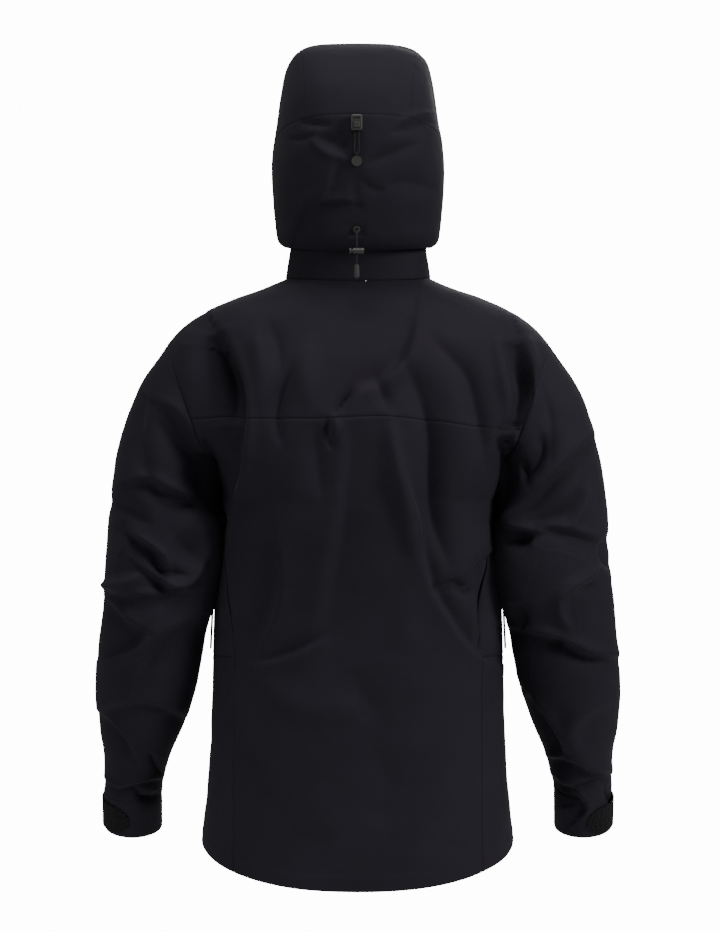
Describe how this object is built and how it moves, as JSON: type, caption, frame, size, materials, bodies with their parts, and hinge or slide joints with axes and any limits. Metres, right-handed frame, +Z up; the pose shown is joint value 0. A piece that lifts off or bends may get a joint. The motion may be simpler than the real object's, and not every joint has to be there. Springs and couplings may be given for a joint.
{
  "type": "hooded hardshell jacket",
  "caption": "Hooded waterproof shell jacket with a full front zip, hand pockets, underarm zips, cuff tabs and cord adjusters at hood, neck and hem.",
  "frame": {"origin": "underside of the hanger loop at the inside back neck", "axes": "+Z up, -Y towards the jacket's front, +X towards the wearer's left"},
  "size_m": [0.6664, 0.3086, 1.06],
  "materials": {
    "cloth": "woven nylon face with a faint sheen",
    "zip": "satin coated zip tape",
    "trim": "moulded, satin",
    "cordage": "braided cord",
    "metal": "black lacquer",
    "loop_tape": "woolly loop tape"
  },
  "bodies": {
    "shell": {"back_panel": "cloth", "back_yoke": "cloth", "collar": "cloth", "wind_flap": "cloth", "left_front_panel": "cloth", "right_front_panel": "cloth", "left_side_panel": "cloth", "right_side_panel": "cloth", "left_underarm_gusset": "cloth", "right_underarm_gusset": "cloth", "front_zip_left": "zip", "front_zip_right": "zip", "hanger_loop": "zip", "left_pocket_welt": "zip", "right_pocket_welt": "zip", "left_pocket_bag": "zip", "right_pocket_bag": "zip", "left_pit_zip": "zip", "right_pit_zip": "zip", "front_zip_box": "trim", "left_hem_lock": "trim", "right_hem_lock": "trim", "hem_drawcord": "cordage"},
    "left_sleeve": {"left_upper_sleeve": "cloth"},
    "right_sleeve": {"right_upper_sleeve": "cloth"},
    "left_forearm": {"left_forearm_sleeve": "cloth", "left_cuff": "cloth", "left_loop_patch": "loop_tape"},
    "right_forearm": {"right_forearm_sleeve": "cloth", "right_cuff": "cloth", "right_loop_patch": "loop_tape"},
    "left_cuff_tab": {"left_cuff_tab": "trim"},
    "right_cuff_tab": {"right_cuff_tab": "trim"},
    "hood": {"hood_back": "cloth", "hood_crown": "cloth", "hood_brim": "cloth", "left_hood_side": "cloth", "right_hood_side": "cloth", "hood_cord_loop": "cordage", "hood_anchor_disc": "trim", "hood_eyelet": "metal"},
    "hood_lock": {"hood_lock_body": "trim"},
    "hood_lock_button": {"hood_lock_button": "trim"},
    "neck_cord": {"neck_cord": "cordage", "cord_end": "trim"},
    "barrel_lock": {"barrel_lock": "trim"},
    "barrel_plunger": {"barrel_plunger": "trim"},
    "front_slider": {"front_slider": "metal"},
    "front_pull": {"front_pull": "trim"},
    "left_pocket_slider": {"left_pocket_slider": "metal"},
    "left_pocket_pull": {"left_pocket_pull": "trim"},
    "left_pit_slider": {"left_pit_slider": "metal"},
    "right_pocket_slider": {"right_pocket_slider": "metal"},
    "right_pocket_pull": {"right_pocket_pull": "trim"},
    "right_pit_slider": {"right_pit_slider": "metal"}
  },
  "joints": [
    {"name": "hood_fold", "type": "hinge", "parent": "shell", "child": "hood", "pos_m": [0, 0.018, 0.026], "axis": [-1, 0, 0], "range_deg": [0, 40]},
    {"name": "left_shoulder", "type": "hinge", "parent": "shell", "child": "left_sleeve", "pos_m": [0.242, -0.065, -0.088], "axis": [0, -1, 0], "range_deg": [0, 60]},
    {"name": "left_elbow", "type": "hinge", "parent": "left_sleeve", "child": "left_forearm", "pos_m": [0.258, -0.13, -0.39], "axis": [-1, 0, 0], "range_deg": [0, 70]},
    {"name": "left_tab_hinge", "type": "hinge", "parent": "left_forearm", "child": "left_cuff_tab", "pos_m": [0.2605, -0.1607, -0.6723], "axis": [0.0304, -0.2351, -0.9715], "range_deg": [0, 90]},
    {"name": "left_pocket_zip_slide", "type": "slide", "parent": "shell", "child": "left_pocket_slider", "axis": [-0.0313, 0.0601, 0.9977], "range_m": [-0.135, 0]},
    {"name": "left_pocket_pull_hinge", "type": "hinge", "parent": "left_pocket_slider", "child": "left_pocket_pull", "pos_m": [0.11309, -0.19239, -0.43138], "axis": [-0.887, -0.4617, 0], "range_deg": [0, 12]},
    {"name": "left_pit_zip_slide", "type": "slide", "parent": "shell", "child": "left_pit_slider", "axis": [-0.0444, 0, 0.999], "range_m": [-0.055, 0]},
    {"name": "right_shoulder", "type": "hinge", "parent": "shell", "child": "right_sleeve", "pos_m": [-0.242, -0.065, -0.088], "axis": [0, 1, 0], "range_deg": [0, 60]},
    {"name": "right_elbow", "type": "hinge", "parent": "right_sleeve", "child": "right_forearm", "pos_m": [-0.258, -0.13, -0.39], "axis": [-1, 0, 0], "range_deg": [0, 70]},
    {"name": "right_tab_hinge", "type": "hinge", "parent": "right_forearm", "child": "right_cuff_tab", "pos_m": [-0.2605, -0.1607, -0.6723], "axis": [0.0304, 0.2351, 0.9715], "range_deg": [0, 90]},
    {"name": "right_pocket_zip_slide", "type": "slide", "parent": "shell", "child": "right_pocket_slider", "axis": [0.0313, 0.0601, 0.9977], "range_m": [-0.135, 0]},
    {"name": "right_pocket_pull_hinge", "type": "hinge", "parent": "right_pocket_slider", "child": "right_pocket_pull", "pos_m": [-0.11309, -0.19239, -0.43138], "axis": [-0.887, 0.4617, 0], "range_deg": [0, 12]},
    {"name": "right_pit_zip_slide", "type": "slide", "parent": "shell", "child": "right_pit_slider", "axis": [0.0444, 0, 0.999], "range_m": [-0.055, 0]},
    {"name": "hood_lock_slide", "type": "slide", "parent": "hood", "child": "hood_lock", "axis": [0, 0, -1], "range_m": [0, 0.026]},
    {"name": "hood_lock_press", "type": "slide", "parent": "hood_lock", "child": "hood_lock_button", "axis": [0, -1, 0], "range_m": [0, 0.0012], "stiffness_N_per_m": 400},
    {"name": "neck_cord_swing", "type": "hinge", "parent": "hood", "child": "neck_cord", "pos_m": [0.0015, 0.0446, 0.0508], "axis": [1, 0, 0], "range_deg": [0, 30]},
    {"name": "barrel_lock_slide", "type": "slide", "parent": "neck_cord", "child": "barrel_lock", "axis": [0, 0, 1], "range_m": [-0.011, 0.012]},
    {"name": "barrel_plunger_press", "type": "slide", "parent": "barrel_lock", "child": "barrel_plunger", "axis": [-1, 0, 0], "range_m": [0, 0.0022], "stiffness_N_per_m": 400},
    {"name": "front_zip_slide", "type": "slide", "parent": "shell", "child": "front_slider", "axis": [0, 0.0696, 0.9976], "range_m": [-0.735, 0]},
    {"name": "front_pull_hinge", "type": "hinge", "parent": "front_slider", "child": "front_pull", "pos_m": [0, -0.17893, 0.04762], "axis": [-1, 0, 0], "range_deg": [0, 12]}
  ]
}
